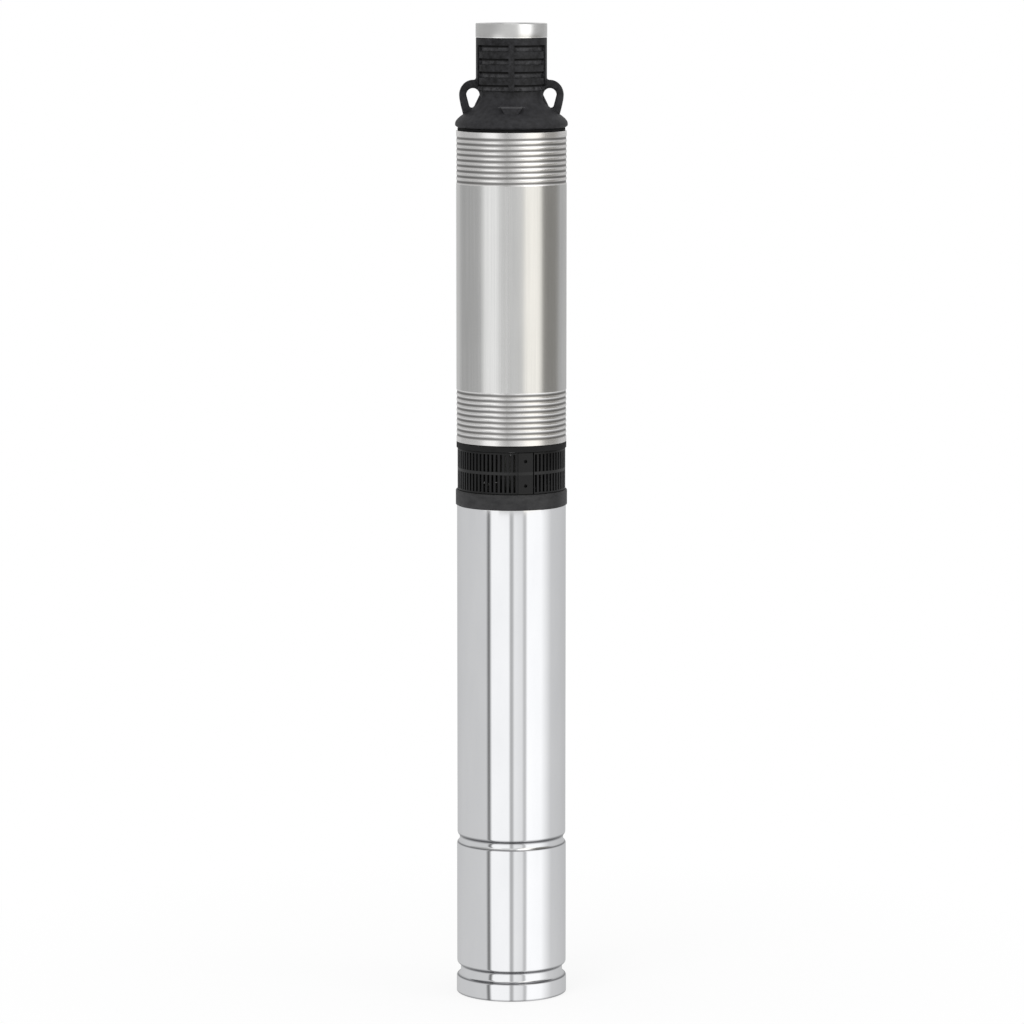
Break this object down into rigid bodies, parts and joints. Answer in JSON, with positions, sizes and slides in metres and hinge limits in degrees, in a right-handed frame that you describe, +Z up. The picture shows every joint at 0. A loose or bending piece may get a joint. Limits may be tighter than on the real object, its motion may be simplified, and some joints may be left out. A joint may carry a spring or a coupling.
{
  "type": "borehole submersible pump",
  "caption": "Slim upright borehole pump: steel pump end over a slotted intake and a steel motor, with a black discharge head and rope eyes.",
  "frame": {"origin": "centre of the motor's flat foot", "axes": "+Z up along the pump's axis to the outlet, -Y front, rope eyes at +X and -X"},
  "size_m": [0.0978, 0.0978, 0.853],
  "materials": {
    "brushed_steel": "satin, brushed round the tube",
    "polished_steel": "bright polished stainless steel",
    "machined_steel": "fine turned",
    "black_plastic": "matte moulded",
    "grey_plastic": "matte moulded",
    "pale_plastic": "matte moulded",
    "cast_iron": "coated casting",
    "bronze": "sintered bronze",
    "copper": "varnished winding",
    "lamination": "stacked sheet",
    "black_rubber": "matte"
  },
  "bodies": {
    "pump_body": {"pump_shell": "brushed_steel", "motor_shell": "polished_steel", "outlet_sleeve": "machined_steel", "flange_stud_1": "machined_steel", "flange_stud_2": "machined_steel", "flange_stud_3": "machined_steel", "flange_stud_4": "machined_steel", "flange_nut_1": "machined_steel", "flange_nut_2": "machined_steel", "flange_nut_3": "machined_steel", "flange_nut_4": "machined_steel", "valve_spring": "machined_steel", "lower_bearing_outer_ring": "machined_steel", "upper_bearing_outer_ring": "machined_steel", "discharge_head": "black_plastic", "intake_bracket": "black_plastic", "strainer": "black_plastic", "valve_seat": "grey_plastic", "upper_bearing_bracket": "grey_plastic", "diffuser_1": "grey_plastic", "diffuser_2": "grey_plastic", "diffuser_3": "grey_plastic", "diffuser_4": "grey_plastic", "bottom_cap": "cast_iron", "lower_bearing_bracket": "cast_iron", "motor_flange": "cast_iron", "upper_bearing_bush": "bronze", "upper_winding": "copper", "lower_winding": "copper", "stator_core": "lamination", "head_gasket": "black_rubber", "intake_bush": "black_rubber", "shaft_seal": "black_rubber", "diaphragm": "black_rubber", "cable_gland": "black_rubber"},
    "motor_rotor": {"motor_shaft": "machined_steel", "rotor_core": "lamination", "lower_bearing_inner_ring": "machined_steel", "upper_bearing_inner_ring": "machined_steel", "sand_slinger": "black_rubber", "shaft_coupling": "polished_steel", "coupling_screw": "machined_steel"},
    "pump_rotor": {"pump_shaft": "machined_steel", "bearing_sleeve": "machined_steel", "shaft_top_nut": "machined_steel", "impeller_stop_ring": "machined_steel", "impeller_1": "pale_plastic", "impeller_2": "pale_plastic", "impeller_3": "pale_plastic", "impeller_4": "pale_plastic"},
    "valve_poppet_set": {"valve_poppet": "grey_plastic", "valve_seal_ring": "black_rubber"},
    "lower_bearing_cage": {"lower_bearing_ball_cage": "machined_steel"},
    "upper_bearing_cage": {"upper_bearing_ball_cage": "machined_steel"}
  },
  "joints": [
    {"name": "motor_spin", "type": "hinge", "parent": "pump_body", "child": "motor_rotor", "pos_m": [0, 0, 0.288], "axis": [0, 0, 1], "continuous": true},
    {"name": "pump_spin", "type": "hinge", "parent": "pump_body", "child": "pump_rotor", "pos_m": [0, 0, 0.6], "axis": [0, 0, 1], "continuous": true},
    {"name": "lower_cage_spin", "type": "hinge", "parent": "pump_body", "child": "lower_bearing_cage", "pos_m": [0, 0, 0.162], "axis": [0, 0, 1], "continuous": true},
    {"name": "upper_cage_spin", "type": "hinge", "parent": "pump_body", "child": "upper_bearing_cage", "pos_m": [0, 0, 0.4172], "axis": [0, 0, 1], "continuous": true},
    {"name": "valve_lift", "type": "slide", "parent": "pump_body", "child": "valve_poppet_set", "axis": [0, 0, 1], "range_m": [0, 0.008], "stiffness_N_per_m": 120, "springref_m": -0.012, "deforming": ["valve_spring"]}
  ],
  "couplings": [
    {"joint": "pump_spin", "follows": "motor_spin", "ratio": 1},
    {"joint": "lower_cage_spin", "follows": "motor_spin", "ratio": 0.4},
    {"joint": "upper_cage_spin", "follows": "motor_spin", "ratio": 0.4}
  ]
}
